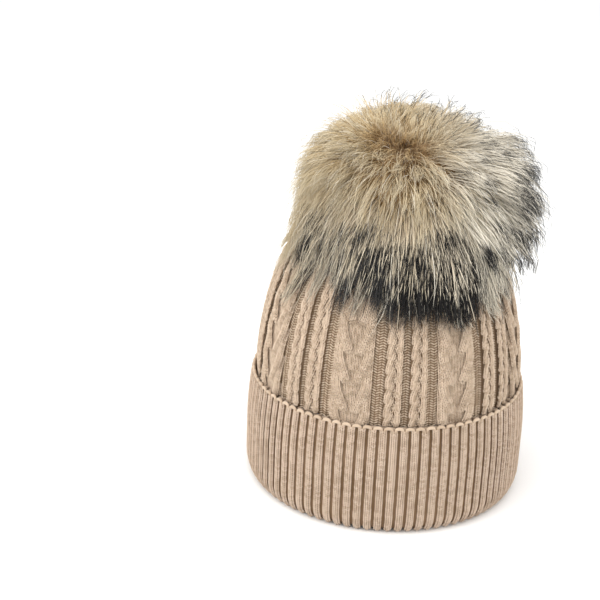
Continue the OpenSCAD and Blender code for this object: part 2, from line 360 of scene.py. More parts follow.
def ribbed(crest, furrow, turns):
    """Lift of a rib's backing: a round ridge and a narrow furrow, with the furrow at each pitch's ends."""
    across = np.abs((turns * ribs / tau) % 1.0 - 0.5) * 2
    return furrow + (crest - furrow) * np.clip(1 - (across / ridge_share) ** 4, 0, 1)


rib_turns = np.linspace(0, tau, ribs * points_per_rib, endpoint=False)
cuff_rows, cuff_around = np.meshgrid(np.linspace(0, cuff_length, cloth_rows), rib_turns, indexing="ij")
cuff_cloth = shell("cuff_cloth", lay(cuff_path, cuff_rows, cuff_around,
                                     ribbed(rib_crest, rib_furrow, cuff_around)),
                   lay(cuff_path, cuff_rows, cuff_around, cuff_inner), rib_back_shaded)
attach(cuff_cloth, "cuff")
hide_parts("turned_cuff")

# two wales stand on each rib, rolled a little away from each other
wale_at, wale_lift, wale_roll = 0.185, -0.62 * MM, 0.55
for side_of, label, seed in ((-1, "left", 2), (1, "right", 4)):
    wale_turns = (np.arange(ribs) + 0.5 + side_of * wale_at) * tau / ribs
    wale = stitched("cuff_wales_" + label, cuff_path,
                    columns(4 * MM, cuff_length - 0.6 * MM, wale_turns, wale_lift, -side_of * wale_roll),
                    knit_stitches, rib_yarn, seed, width=1.25 * MM)
    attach(wale, "cuff")

# --- Cast-on edge --------------------------------------------------------------------------------------
# The cuff's free edge is where the knitting was cast on. One thick pale loop of the same yarn arches over
# each furrow, a little higher or lower than its neighbours.
tubes = bpy.data.node_groups.new("tubes", "GeometryNodeTree")
tubes.interface.new_socket("Lines", in_out="INPUT", socket_type="NodeSocketGeometry")
tubes.interface.new_socket("Sides", in_out="INPUT", socket_type="NodeSocketInt")
tubes.interface.new_socket("Finish", in_out="INPUT", socket_type="NodeSocketMaterial")
tubes.interface.new_socket("Mesh", in_out="OUTPUT", socket_type="NodeSocketGeometry")
given = add(tubes, "NodeGroupInput").outputs
line = add(tubes, "GeometryNodeMeshToCurve", {"Mesh": given["Lines"]})
thick = add(tubes, "GeometryNodeInputNamedAttribute", {"Name": "thick"}, data_type="FLOAT")
ring = add(tubes, "GeometryNodeCurvePrimitiveCircle", {"Resolution": given["Sides"], "Radius": 1.0})
skin = add(tubes, "GeometryNodeCurveToMesh", {"Curve": line.outputs[0], "Profile Curve": ring.outputs[0],
                                              "Scale": thick.outputs[0], "Fill Caps": True})
real = add(tubes, "GeometryNodeRealizeInstances", {"Geometry": skin.outputs[0]})
smooth = add(tubes, "GeometryNodeSetShadeSmooth", {"Geometry": real.outputs[0]})
dressed = add(tubes, "GeometryNodeSetMaterial", {"Geometry": smooth.outputs[0],
                                                 "Material": given["Finish"]})
add(tubes, "NodeGroupOutput", {"Mesh": dressed.outputs[0]})


def tubed(name, lines, thickness, material, sides=6, closed=False, **values):
    """Tubes along many lines of equal point count: lines is (count, points, 3), thickness a radius or
    an array of them. Extra values become point attributes. Each tube has a strip of the UV map."""
    count, points = lines.shape[:2]
    first = np.arange(count)[:, None] * points + np.arange(points - 1)
    edges = np.stack([first, first + 1], -1).reshape(-1, 2)
    if closed:
        ends = np.arange(count) * points
        edges = np.concatenate([edges, np.stack([ends + points - 1, ends], -1)])
    mesh = bpy.data.meshes.new(name + "_lines")
    mesh.vertices.add(count * points)
    mesh.vertices.foreach_set("co", lines.astype(np.float32).ravel())
    mesh.edges.add(len(edges))
    mesh.edges.foreach_set("vertices", edges.astype(np.int32).ravel())
    with_values(mesh, {"thick": np.broadcast_to(thickness, (count, points)).reshape(-1),
                       **{key: np.broadcast_to(value, (count, points)).reshape(-1)
                          for key, value in values.items()}})
    piece = made_plain(name, mesh, tubes, {"Sides": sides, "Finish": material})
    plain = piece.data
    corner = np.empty(len(plain.loops), np.int32)
    plain.loops.foreach_get("vertex_index", corner)
    which = corner // (points * sides)
    point, around = corner % (points * sides) // sides, corner % sides
    grid = ceil(sqrt(count))
    u = (which % grid + 0.2 + 0.6 * around / max(1, sides - 1)) / grid
    v = (which // grid + 0.1 + 0.8 * point / (points - 1)) / grid
    uv = np.stack([u, v], -1).astype(np.float32).ravel()
    plain.uv_layers.new(name="OFBake").data.foreach_set("uv", uv)
    return piece


edge_yarn = knit_yarn("wool_edge_yarn", "#cbb59d", "#b59e86", 0.25)
edge_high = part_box("cuff_edge")[1][2]
arch_r = 0.95 * MM
arch_half = 0.37 * tau / ribs
arch_t = np.linspace(0, pi, 8)
arch_turns = np.arange(ribs)[:, None] * tau / ribs - arch_half * np.cos(arch_t)
arch_out = cuff_r - cuff_lean - 1.15 * MM
arch_low, arch_high = cuff_top - 0.9 * MM, edge_high - arch_r
arch_z = arch_low + (arch_high - arch_low) * np.sin(arch_t) ** 0.7
arch_drop = 0.35 * MM
arch_z = arch_z + np.random.default_rng(6).uniform(-arch_drop, 0, (ribs, 1))
arches = np.stack([arch_out * np.cos(arch_turns), arch_out * np.sin(arch_turns),
                   np.broadcast_to(arch_z, arch_turns.shape)], -1)
edge = tubed("cast_on_loops", arches, arch_r * (0.75 + 0.3 * np.sin(arch_t)), edge_yarn,
             tone=np.random.default_rng(5).random((ribs, 1)))
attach(edge, "cuff")
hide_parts("cuff_edge")


# --- Back seam of the cuff -------------------------------------------------------------------------------
# The cuff was knitted flat and joined up the back with mattress stitch, in its own yarn. Band and crown
# are joined the same way.
def seam_line(name, path, start, end, lift, body, node, yarn):
    """A mattress-stitched seam up the back: a narrow ladder of small leaning stitches."""
    ladder_half, narrow, rung = 0.55 * MM, 0.6, 1.1 * MM
    turns = pi / 2 + np.array([-ladder_half, ladder_half]) / cuff_r
    chart = columns(start, end, turns, lift, 0.0, narrow, rung)
    piece = stitched(name, path, chart, knit_stitches, yarn, 11, length=1.6 * MM, width=0.75 * MM,
                     thickness=0.7 * MM)
    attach(piece, body)
    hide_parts(node)


seam_line("cuff_seam_stitches", cuff_path, 8 * MM, cuff_length - 1 * MM, -0.5 * MM, "cuff",
          "cuff_seam", rib_yarn)

# --- Band: the same rib, one layer further in, that grips the head ----------------------------------
# The band is the part of the rib that stays against the head. The cuff hides its outside while it is turned
# up. It is one cloth wall, whose courses and furrows are relief; the furrows are also painted a darker
# colour, as painted shade.
band_low, band_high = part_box("rib_band")
band_out, band_in = band_high[0], head_r
band_path = path_of([(band_out, z) for z in np.linspace(band_low[2], band_high[2], 40)])
band_length = band_path[1][-1]
band_rows, band_around = np.meshgrid(np.linspace(0, band_length, 18), rib_turns, indexing="ij")
band_yarn = knit_yarn("wool_band_yarn", "#d0bba5", "#b39c85", 0.25)
band_tree = band_yarn.node_tree
band_place = add(band_tree, "ShaderNodeTexCoord").outputs["Object"]
wave_length = tau / 20    # a wave texture's own length, at a scale of one
courses = add(band_tree, "ShaderNodeTexWave", {"Vector": band_place, "Scale": wave_length / course,
                                               "Distortion": 1.0}, bands_direction="Z")
course_bump = add(band_tree, "ShaderNodeBump", {"Height": courses.outputs["Fac"], "Strength": 0.8,
                                                "Distance": 0.5 * MM})
band_shader = next(node for node in band_tree.nodes if node.type == "BSDF_PRINCIPLED")
fibre_bump = band_shader.inputs["Normal"].links[0].from_socket
band_tree.links.new(fibre_bump, course_bump.inputs["Normal"])
band_tree.links.new(course_bump.outputs["Normal"], band_shader.inputs["Normal"])
outer_crest, outer_furrow = -0.1 * MM, -1.6 * MM
inner_crest, inner_furrow = 0.9 * MM, 0.1 * MM
band_cloth = shell("band_cloth",
                   lay(band_path, band_rows, band_around,
                       ribbed(outer_crest, outer_furrow, band_around)),
                   lay(band_path, band_rows, band_around,
                       ribbed(inner_crest, inner_furrow, band_around) - (band_out - band_in)), band_yarn)
# painted shade: how far the band's furrows are darkened
furrow_shade_strength = 0.8
band_furrow_shade = furrow_shade_strength * (1 - ribbed(1, 0, band_around).ravel())
with_values(band_cloth.data, {"furrow": np.tile(band_furrow_shade, 2)})
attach(band_cloth, "hat")
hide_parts("rib_band")
seam_line("band_seam_stitches", band_path, 1 * MM, band_length - 1 * MM, -0.5 * MM, "hat",
          "band_seam", rib_yarn)

# --- Crown: eight repeats of cables, twists and purl gutters, gathered at the top --------------------
# Each repeat is a big horseshoe cable, a gutter, two small twists either side of a narrow gutter, and a
# gutter. Distances across are at the crown's foot; they close in with it towards the top.
crown_low, crown_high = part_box("crown_knit")
crown_r, crown_foot = crown_high[0], crown_low[2]
crown_h = 106 * MM
crown_side, crown_top = 1.8, 3.5
gather_r = 5.2 * MM
repeats = 8
cable_period, twist_period = 17 * MM, 8.5 * MM
wall = 3.4 * MM
cables_end_r = 42 * MM


def dome_r(z):
    """The crown's outer radius at a height above the floor."""
    return crown_r * np.clip(1 - (np.clip(z - crown_foot, 0, None) / crown_h) ** crown_side, 0, 1) ** (
        1 / crown_top)


up = 1 - (1 - np.linspace(0, 1, 400)) ** 4
crown_line = [(dome_r(crown_foot + crown_h * share), crown_foot + crown_h * share) for share in up]
crown_path = path_of([point for point in crown_line if point[0] > gather_r])
crown_length = crown_path[1][-1]
chart_end = float(np.interp(-cables_end_r, -crown_path[0][:, 0], crown_path[1]))
narrowest = 0.12


def share_at(s):
    """How much the crown has closed in at a distance up it, as a share of its foot."""
    return np.interp(s, crown_path[1], crown_path[0][:, 0]) / crown_r


def width_at(s):
    """The width share of a stitch at a distance up the crown."""
    return narrowest + (1 - narrowest) * share_at(s)


def crossing(centre, mirror, first, period, length, begin, finish, wales, pitch, floor, top, bend, step,
             fall=0.3, round_off=0.9 * MM):
    """The chart of a cable's leaves on one side. Each rises beside its neighbours, crosses over them
    between two shares of its length, and dives under the next. Distances across are from the centre."""
    rows = []
    steps = round(length / step)
    t = (np.arange(steps) + 0.5) / steps
    part = np.clip((t - bend[0]) / (bend[1] - bend[0]), 0, 1)
    swing = part * part * (3 - 2 * part)
    slope = (finish - begin) / length / (bend[1] - bend[0]) * 6 * part * (1 - part)
    rise = floor + (top - floor) * np.minimum((t / 0.07) ** 0.5, np.clip((1.02 - t) / fall, 0, 1) ** 0.8)
    swell = 0.7 * MM
    for start in np.arange(first, chart_end, period):
        for k in range(wales):
            off = (k - (wales - 1) / 2) * pitch
            edge_drop = (abs(off) / (wales * pitch / 2)) ** 2
            x = begin + (finish - begin) * swing + off / np.hypot(1, slope)
            s = start + t * length - off * slope / np.hypot(1, slope)
            kept = (s > 0) & (s < chart_end)
            rows.append(np.column_stack([
                s, (centre + mirror * x) / crown_r,
                rise - round_off * edge_drop + swell * np.clip(s / (7 * MM) - 0.2, 0, 1), t * 0 + 1,
                mirror * slope * share_at(s), t * 0 - mirror * 0.8 * off / (wales * pitch / 2),
                width_at(s)])[kept])
    return np.concatenate(rows)


crown_yarn = knit_yarn("wool_crown_yarn", "#d1bca5", "#b59e86", 0.25)
# the gutters' purl bumps are the crown's yarn, coloured a little darker as painted shade in the recessed
# gutters
purl_yarn_shaded = knit_yarn("wool_purl_yarn_shaded", "#cdb8a0", "#af987f", 0.15)
repeat = tau * crown_r / repeats
first_cable = -0.42 * repeat
crown_edge = 0.6 * MM
ground_half, ground_wales, ground_lift = 5.4 * MM, 6, -1.9 * MM
twists_at = (24.4 * MM, 39.0 * MM)
gutters_at = np.array([13.5, 15.9, 18.2, 30.6, 32.8, 45.0, 47.4, 49.7]) * MM
cables, twists, gutters = [], [], []
for n in range(repeats):
    middle = -pi / 2 * crown_r + first_cable + n * repeat
    for mirror in (-1, 1):
        cables.append(crossing(middle, mirror, first=-1.6 * cable_period, period=cable_period,
                               length=2.1 * cable_period, begin=2.7 * MM, finish=9.2 * MM, wales=3,
                               pitch=1.95 * MM, floor=-2.6 * MM, top=0.3 * MM, bend=(-0.08, 0.5),
                               step=1.55 * MM, fall=0.62, round_off=1.3 * MM))
    # plain wales lie under the cable and show where its leaves part
    ground_at = (middle + np.linspace(-ground_half, ground_half, ground_wales)) / crown_r
    ground = columns(crown_edge, chart_end, ground_at, ground_lift, 0.0)
    ground[:, 6] = width_at(ground[:, 0])
    cables.append(ground)
    for centre_at in twists_at:
        for mirror in (-1, 1):
            twists.append(crossing(middle + centre_at, mirror, first=(-1.5 - 0.25 * mirror) * twist_period,
                                   period=twist_period, length=1.65 * twist_period, begin=3.3 * MM,
                                   finish=0.8 * MM, wales=2, pitch=1.5 * MM, floor=-2.7 * MM,
                                   top=-0.4 * MM, bend=(0.45, 0.9) if mirror > 0 else (0.2, 0.9),
                                   step=1.45 * MM))
    gutters.append(middle + gutters_at)
gutters = np.concatenate(gutters) / crown_r
for half, suffix in enumerate(("_back", "_front")):
    for label, leaves, seed, leaf_wide in (("cables", cables, 21, 1.12 * MM),
                                           ("twists", twists, 31, 0.98 * MM)):
        part = stitched(label + suffix, crown_path,
                        np.concatenate(leaves[half * len(leaves) // 2:(half + 1) * len(leaves) // 2]),
                        knit_stitches, crown_yarn, seed + half, width=leaf_wide, thickness=1.15 * MM)
        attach(part, "hat")

# purl bumps lie across the gutters, each wale tipped against the next
rows = np.arange(crown_edge, chart_end, course)
zigzag = np.where(np.arange(len(gutters)) % 2, 0.5, -0.5)
s, a, tip = (grid.ravel() for grid in np.broadcast_arrays(rows[:, None], gutters[None, :],
                                                          zigzag[None, :]))
purl_lift = -2.05 * MM
purl_chart = np.column_stack([s, a, s * 0 + purl_lift, tip, s * 0 + 1, s * 0, s * 0 + 1])
purls = stitched("purl_gutters", crown_path, purl_chart, purl_stitches, purl_yarn_shaded, 41, length=2.75 * MM,
                 width=0.95 * MM, thickness=1.0 * MM, uneven=0.12)
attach(purls, "hat")

# --- Top of the crown ------------------------------------------------------------------------------------
# Above the cables the rounds are plain knit in the same yarn. They close in quickly to the gather, with
# half as many wales twice over. The fur hides them.
rounds = []
wale_wide, round_lift, round_step = 2.2 * MM, -0.75 * MM, 1.8 * MM
for inner_r, outer_r, wales in ((26 * MM, 43.5 * MM, 120), (13 * MM, 26 * MM, 60), (5.5 * MM, 13 * MM, 30)):
    low, high = (float(np.interp(-r, -crown_path[0][:, 0], crown_path[1])) for r in (outer_r, inner_r))
    chart = columns(low, high, np.arange(wales) * tau / wales, round_lift, 0.0, step=round_step)
    chart[:, 6] = np.interp(chart[:, 0], crown_path[1], crown_path[0][:, 0]) * tau / wales / wale_wide
    rounds.append(chart)
top = stitched("top_rounds", crown_path, np.concatenate(rounds), knit_stitches, crown_yarn, 51)
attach(top, "hat")

# --- Cloth and back seam of the crown --------------------------------------------------------------------
# The purl side of the crown's fabric is a cloth behind the stitches, coloured darker as painted shade,
# which closes the wall and is what the head feels. Its seam runs up the back to the gather.
# the crown's backing is the same yarn, coloured darker as painted shade behind the stitches
crown_back_shaded = knit_yarn("wool_crown_backs_shaded", "#b39b80", "#8f775e", 0.0)
crown_turns = np.linspace(0, tau, 240, endpoint=False)
crown_rows, crown_around = np.meshgrid(np.linspace(0, crown_length, 60), crown_turns, indexing="ij")
cloth_lift, ceiling_z = -2.7 * MM, 168 * MM
outside = lay(crown_path, crown_rows, crown_around, cloth_lift)
within = lay(crown_path, crown_rows, crown_around, -wall)
within[..., 2] = np.minimum(within[..., 2], ceiling_z)
crown_cloth = shell("crown_cloth", outside, within, crown_back_shaded)
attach(crown_cloth, "hat")
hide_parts("crown_knit")
seam_line("crown_seam_stitches", crown_path, 1 * MM, crown_length - 2 * MM, -0.7 * MM, "hat",
          "crown_seam", crown_yarn)

# --- Pompom: long fur on a small gathered pelt ------------------------------------------------------
# A soft tan undercoat holds up long hairs that grow out of the pelt, spread from a parting high on the
# front, and fall outward. Locks of hair taper together to their tips, which are cream and then black.
hub = np.array([0.002, 0.0, 0.186])
pelt_r = 23 * MM
rng = np.random.default_rng(2024)
parting_left, parting_right, parting_high, parting_falls = -38, 8, 48, 0.24
parting = np.array([
    [cos(e) * sin(a), -cos(e) * cos(a), sin(e)] for a, e in
    [(radians(d), radians(parting_high - parting_falls * (d - parting_left)))
     for d in np.linspace(parting_left, parting_right, 9)]])


def unit(v):
    """Vectors brought to a length of one."""
    return v / np.linalg.norm(v, axis=-1, keepdims=True)


def blend_dirs(a, b, t):
    """Directions between two sets of directions, at shares t of the angle between them."""
    angle = np.arccos(np.clip((a * b).sum(-1, keepdims=True), -0.9999, 0.9999))
    return (a * np.sin((1 - t) * angle) + b * np.sin(t * angle)) / np.sin(angle)


def reach_of(d):
    """How far the dense fur reaches from the hub in a direction: a flat dome above, a fringe below."""
    flat = np.hypot(d[..., 0], d[..., 1])
    wide, tall = 0.070 + 0.003 * d[..., 0], 0.044
    return 1 / np.sqrt((flat / wide) ** 2 + (np.clip(d[..., 2], 0, 1) / tall) ** 2)


def facing(turn, tilt):
    """Directions from a turn to the right of the front and the sine of a tilt upwards."""
    flat = np.sqrt(1 - tilt ** 2)
    return np.column_stack([np.sin(turn) * flat, -np.cos(turn) * flat, tilt])


def soft_step(value, low, high):
    """A share that rises smoothly from none at low to all at high."""
    part = np.clip((value - low) / (high - low), 0, 1)
    return part * part * (3 - 2 * part)


# Locks are spread evenly over the ball down to where it meets the crown. More fill the fringe low at the
# front, and a few long ones spike out at the right.
even_locks, fringe_locks, spikes = 700, 165, 30
ball_covered, scatter = 1.67, 0.05
n = np.arange(even_locks) + 0.5
height = 1 - n / even_locks * ball_covered
spin = pi * (1 + sqrt(5)) * n
even = np.column_stack([np.sqrt(1 - height ** 2) * np.cos(spin), np.sqrt(1 - height ** 2) * np.sin(spin),
                        height])
low_turn, low_tilt = rng.normal(0.08, 0.42, fringe_locks), rng.uniform(-0.66, -0.44, fringe_locks)
right_dip = 0.05
low_tilt -= right_dip * ((low_turn > 0.3) & (low_turn < 0.9))
spike = facing(rng.uniform(1.0, 1.9, spikes), rng.uniform(-0.5, 0.42, spikes))
heads = unit(np.concatenate([even + rng.normal(0, scatter, even.shape), facing(low_turn, low_tilt), spike]))
locks = len(heads)
spiked = np.arange(locks) >= locks - spikes

# roots are drawn towards the parting, the most near it
nearest = parting[np.argmax(heads @ parting.T, axis=1)]
apart = np.degrees(np.arccos(np.clip((heads * nearest).sum(1), -1, 1)))
root_pull = 0.50
pull = root_pull * (1 - soft_step(apart, 60, 170))[:, None]
roots = unit(blend_dirs(heads, nearest, pull))

# Where a lock stands sets its kind: tufts at the right, a black fringe at the front's middle, a short
# left side and a crest. Ranges are shares of the ball from its middle, or degrees round it.
side, front, below = heads[:, 0], -heads[:, 1], -heads[:, 2]
azimuth = np.degrees(np.arctan2(side, front))
tuft_chance = 0.5
tufted = soft_step(side, 0.3, 0.7) * soft_step(below, -0.8, -0.35) * (rng.random(locks) < tuft_chance)
tufted *= 1 - soft_step(below, 0.3, 0.5)
tufted = np.where(spiked, 1, tufted)
fringe = soft_step(below, 0.24, 0.36) * soft_step(front, 0.0, 0.4)
mid_front = soft_step(azimuth, -42, -20) * (1 - soft_step(azimuth, 22, 44))
black_anywhere, black_right, black_middle, tipped_only = 0.15, 0.10, 0.75, 0.25
chance_black = black_anywhere + black_right * (azimuth > 0) + black_middle * mid_front
blackened = fringe * np.where(rng.random(locks) < chance_black, 1, tipped_only)
left = soft_step(-side, 0.3, 0.75)
crest = soft_step(-below, 0.45, 0.8)

# a lock's length, as a share of how far the dense fur reaches: tufts and spikes stand out of it, and
# locks on the left, between the tufts and at the parting are shorter
stretch = rng.uniform(0.92, 1.02, locks) + tufted * rng.uniform(0.10, 0.30, locks) - 0.05 * left
stretch -= 0.05 * soft_step(side, 0.4, 0.8) * (tufted < 0.1)
stretch += fringe * 0.03 - 0.10 * (1 - soft_step(apart, 4, 18))
stretch = np.where(spiked, rng.uniform(1.18, 1.30, locks) - 0.12 * soft_step(below, 0.2, 0.5), stretch)

# how black a lock's tips are, and how light its hair is: its tone varies at random, and is painted darker
# on the left side as shade and lighter on the crest as painted light
lock_dark = 0.4 * spiked + 0.03 + 0.62 * tufted + 1.1 * blackened
lock_dark = np.clip(lock_dark + rng.normal(0, 0.08, locks), 0, 1)
lock_tone_and_light = np.clip(rng.normal(0.5 - 0.3 * left + 0.35 * crest, 0.2, locks), 0, 1)

# Each lock is a bundle of hairs that leave the pelt apart and draw together at the tip. One in twenty
# strays from its lock.
per_lock, points = 27, 6
count = locks * per_lock
of = np.repeat(np.arange(locks), per_lock)
t = np.linspace(0, 1, points)[None, :, None]
stray_share, most_short, crest_strays, root_scatter = 0.05, 0.28, 0.26, 0.10
stray = rng.random(count) < stray_share
short = rng.uniform(0, most_short, count) * (1 - 0.55 * fringe[of]) * (1 - 0.45 * tufted[of])
long = stretch[of] * rng.uniform(1.0, 1.08, count) + crest_strays * crest[of]
length = np.where(stray, long, stretch[of] * (1 - short))
out = (1 - (1 - t) ** 2) * length[:, None, None]
tip_scatter = (0.024 - 0.012 * tufted[of] - 0.005 * spiked[of])[:, None] * (1 + 1.5 * stray[:, None])
aim = unit(heads[of] + rng.normal(0, 1, (count, 3)) * tip_scatter)
start = unit(roots[of] + rng.normal(0, root_scatter, (count, 3)))
way = blend_dirs(start[:, None, :], aim[:, None, :], t ** 0.85)
reach = reach_of(aim)[:, None, None]
strands = hub + way * (pelt_r + (reach - pelt_r) * out)
spread = unit(rng.normal(0, 1, (count, 3)))[:, None, :] * rng.uniform(0.2, 1, (count, 1, 1))
bundle_wide, crimp = 2.4 * MM, 0.25 * MM
strands += spread * bundle_wide * (3.2 * t * (1 - t) + 0.25 * t) * (1 + 0.8 * stray[:, None, None])
wave = rng.uniform(0, tau, (count, 1, 1))
strands += unit(rng.normal(0, 1, (count, 3)))[:, None, :] * crimp * np.sin(5 * t + wave) * t

# a hair sags the more it lies level, and the fringe ends in a ragged edge
sag_least, sag_tufted = 4 * MM, 5 * MM
level = np.clip(1 - np.abs(aim[:, 2:3]), 0, 1)
strands[..., 2] -= (sag_least + sag_tufted * tufted[of])[:, None] * t[0, :, 0] ** 2 * level
lowest_z, ragged = 0.119, 0.008
strands[..., 2] = np.maximum(strands[..., 2], lowest_z + ragged * rng.random((count, 1)))

# hair lies on the crown, and never goes through it
crown_top_z = crown_foot + crown_h
over_crown_z, top_flat_r = 0.1785, 0.050
lie_lowest, lie_over = 2.5 * MM, 2.4 * MM
flat = np.hypot(strands[..., 0], strands[..., 1])
standing = lie_lowest + lie_over * rng.random((count, 1))
clear = np.where(strands[..., 2] <= crown_top_z, dome_r(strands[..., 2]) + standing, 0)
pushed = np.maximum(flat, clear) / np.maximum(flat, 1e-6)
strands[..., :2] *= pushed[..., None]
on_top = (strands[..., 2] < over_crown_z) & (np.hypot(strands[..., 0], strands[..., 1]) < top_flat_r)
strands[..., 2] = np.where(on_top, over_crown_z, strands[..., 2])

# A hair thins to a point. It is darker, lighter or paler than its lock by chance, a stray one is black,
# and one in twenty is white.
tip_thins, fringe_thicker, stray_dark, white_share = 0.75, 0.25, 0.9, 0.05
thin = (1 - tip_thins * t[0, :, 0] ** 4)[None, :] * rng.uniform(0.12, 0.18, (count, 1)) * MM
thin *= 1 + fringe_thicker * fringe[of][:, None]
strand_dark = lock_dark[of] + rng.normal(0, 1, count) * (0.12 + 0.22 * tufted[of])
strand_dark = np.clip(strand_dark + stray_dark * stray * (side[of] > -0.3), 0, 1)
pale = (rng.random(count) < white_share) * rng.uniform(0.4, 1, count)
strand_dark *= 1 - pale
pale = np.maximum(pale, 0.6 * tufted[of] + 0.4 * fringe[of] + 0.35 * soft_step(side[of], 0, 0.7))
pale = np.clip(pale, 0, 0.9)
strand_tone = np.clip(lock_tone_and_light[of] + rng.normal(0, 0.16, count), 0, 1)

# raccoon fur: gold-brown at the root, then tan, cream, and a black tip where the hair has one. It has the
# low soft gloss of hair
raccoon_hair, fur_tree, fur_shader = finish_of("raccoon_hair", "#c0ab88", Roughness=0.55,
                                               Specular_IOR_Level=0.25, Sheen_Weight=0.15,
                                               Sheen_Roughness=0.4)
along, dark, tone, light = (add(fur_tree, "ShaderNodeAttribute", attribute_name=key).outputs["Fac"]
                            for key in ("along", "dark", "tone", "pale"))
body = add(fur_tree, "ShaderNodeValToRGB", {"Fac": along})
stops = [(0.0, "#5a3d1f"), (0.20, "#86663a"), (0.40, "#bfa376"), (0.60, "#ceba95"), (0.80, "#d2c3a4"),
         (1.0, "#d6c8ad")]
for place, colour in stops[1:-1]:
    body.color_ramp.elements.new(place)
for element, (place, colour) in zip(body.color_ramp.elements, stops):
    element.position, element.color = place, linear(colour)
shade = add(fur_tree, "ShaderNodeMapRange", {"Value": tone, "To Min": 0.86, "To Max": 1.16})
toned = add(fur_tree, "ShaderNodeVectorMath", {0: body.outputs["Color"], "Scale": shade.outputs["Result"]},
            operation="SCALE")
creamy = add(fur_tree, "ShaderNodeMix", {"Factor": light, "A": toned.outputs[0], "B": linear("#ece5d6")},
             data_type="RGBA")
tip = add(fur_tree, "ShaderNodeMapRange", {"Value": along, "From Min": 0.56, "From Max": 0.70})
black = add(fur_tree, "ShaderNodeMath", {0: tip.outputs["Result"], 1: dark}, operation="MULTIPLY")
hard = add(fur_tree, "ShaderNodeMapRange", {"Value": black.outputs[0], "From Min": 0.25, "From Max": 0.6})
tipped = add(fur_tree, "ShaderNodeMix", {"Factor": hard.outputs["Result"], "A": creamy.outputs["Result"],
                                         "B": linear("#1c1a19")}, data_type="RGBA")
fur_tree.links.new(tipped.outputs["Result"], fur_shader.inputs["Base Color"])

# the hair is kept in four pieces, each a quarter of the way round
# painted shade: near the parting, where roots show, each hair's whole length takes its colour from nearer
# the brown root end of the ramp; tufted locks shift a little the same way, so that their black tips start
# later
parting_shade_and_tip_shift = (0.36 + 0.64 * soft_step(apart, 3, 20)) * (1 - 0.11 * tufted)
rank = np.argsort(np.argsort(np.arctan2(heads[:, 1], heads[:, 0])))
parts = 4
for part in range(parts):
    mine = (rank[of] * parts // locks) == part
    fur = tubed(f"fur_{part + 1}", strands[mine], thin[mine], raccoon_hair, sides=3,
                along=t[0, :, 0] * parting_shade_and_tip_shift[of][mine][:, None], dark=strand_dark[mine][:, None],
                tone=strand_tone[mine][:, None], pale=pale[mine][:, None])
    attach(fur, "pompom")
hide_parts("guard_hair")


# --- Undercoat -------------------------------------------------------------------------------------------
# The short woolly underfur is a dense soft core that the long hairs stand in. It shows only as a warm
# brown between them, near the parting.
def closed_bowl(name, rows, material):
    """A closed skin over a grid of points that goes round the axis, with a pole at each end."""
    count, turns = rows.shape[:2]
    i, j = np.meshgrid(np.arange(count - 1), np.arange(turns), indexing="ij")
    a, b = i * turns + j, i * turns + (j + 1) % turns
    sides = np.stack([b, a, a + turns, b + turns], -1).reshape(-1, 4).tolist()
    top, bottom = count * turns, count * turns + 1
    caps = [(j, (j + 1) % turns, top) for j in range(turns)]
    last = (count - 1) * turns
    caps += [(last + (j + 1) % turns, last + j, bottom) for j in range(turns)]
    mesh = bpy.data.meshes.new(name)
    mesh.from_pydata(np.concatenate([rows.reshape(-1, 3), rows[:1].mean(1), rows[-1:].mean(1)]).tolist(),
                     [], sides + caps)
    mesh.shade_smooth()
    mesh.materials.append(material)
    return shown(name, mesh)


def speckled(name, dark, light, grain, relief, rough=0.95, **values):
    """A matt finish mottled between two colours at one grain size, with relief of the same grain."""
    material, tree, shader = finish_of(name, light, Roughness=rough, **values)
    place = add(tree, "ShaderNodeTexCoord").outputs["Object"]
    mottle = add(tree, "ShaderNodeTexNoise", {"Vector": place, "Scale": 1 / grain, "Detail": 3.0})
    mottled = add(tree, "ShaderNodeMix", {"Factor": mottle.outputs["Fac"], "A": linear(dark),
                                          "B": linear(light)}, data_type="RGBA")
    tree.links.new(mottled.outputs["Result"], shader.inputs["Base Color"])
    bump = add(tree, "ShaderNodeBump", {"Height": mottle.outputs["Fac"], "Strength": 0.6,
                                        "Distance": relief})
    tree.links.new(bump.outputs["Normal"], shader.inputs["Normal"])
    return material


# underfur is fine dense wool: matt, with a soft bloom, in tufts about a millimetre wide
undercoat = speckled("raccoon_undercoat", "#6b4f2c", "#a3855a", 1.2 * MM, 0.8 * MM, Sheen_Weight=0.4)
core_share, core_foot_z, lump_high = 0.74, 0.1792, 1.5 * MM
core_rows, core_turns = np.meshgrid(np.linspace(0.02, 1, 26), np.linspace(0, tau, 72, endpoint=False),
                                    indexing="ij")
tilt = pi / 2 - core_rows * pi * 0.62
core_dir = np.stack([np.cos(tilt) * np.cos(core_turns), np.cos(tilt) * np.sin(core_turns),
                     np.sin(tilt)], -1)
lumps = np.sin(core_turns * 7 + 9 * core_rows) * np.sin(core_rows * 19) * lump_high * np.sin(core_rows * pi)
core = hub + core_dir * (core_share * reach_of(core_dir) + lumps)[..., None]
core[..., 2] = np.maximum(core[..., 2], core_foot_z)
undercoat_core = closed_bowl("undercoat_core", core, undercoat)
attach(undercoat_core, "pompom")
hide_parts("underfur")

# --- Pelt ------------------------------------------------------------------------------------------------
# The pelt is a disc of hide that the hair grows from. It is gathered into a bag round its filling, pleated
# at the mouth, where the draw thread closes it.
pelt_low, pelt_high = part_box("fur_pelt")
